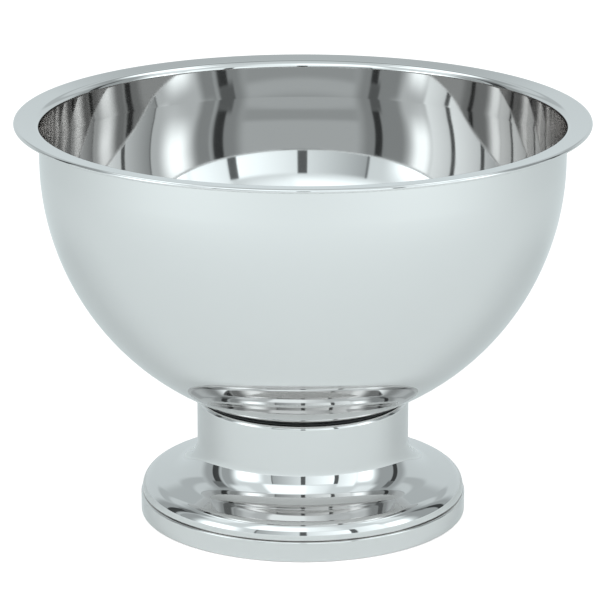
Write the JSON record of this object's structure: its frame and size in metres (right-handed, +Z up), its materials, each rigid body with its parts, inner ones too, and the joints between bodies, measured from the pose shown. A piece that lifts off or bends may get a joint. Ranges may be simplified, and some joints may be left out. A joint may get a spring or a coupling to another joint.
{
  "type": "punch bowl",
  "caption": "Round polished metal punch bowl with an out-turned rim on a flared pedestal, for serving drinks at a party.",
  "frame": {"origin": "centre of the base, on the surface that the bowl stands on", "axes": "+Z up along the axis of the bowl; the bowl is round, so +X and +Y are any two level directions, and the wing nut's wings lie along X"},
  "size_m": [0.375, 0.375, 0.2675],
  "materials": {
    "polished_steel": "mirror-polished spun stainless steel",
    "plain_steel": "as-rolled stainless steel, unpolished",
    "zinc_steel": "bright zinc-plated steel",
    "black_rubber": "matt black rubber"
  },
  "bodies": {
    "root": {"bowl_shell": "polished_steel", "stud_plate": "plain_steel", "centre_stud": "plain_steel", "neck_gasket": "black_rubber", "pedestal_shell": "polished_steel", "base_band": "polished_steel", "clamp_disc": "plain_steel", "flat_washer": "zinc_steel", "lock_washer": "zinc_steel", "wing_nut": "zinc_steel"}
  },
  "joints": []
}
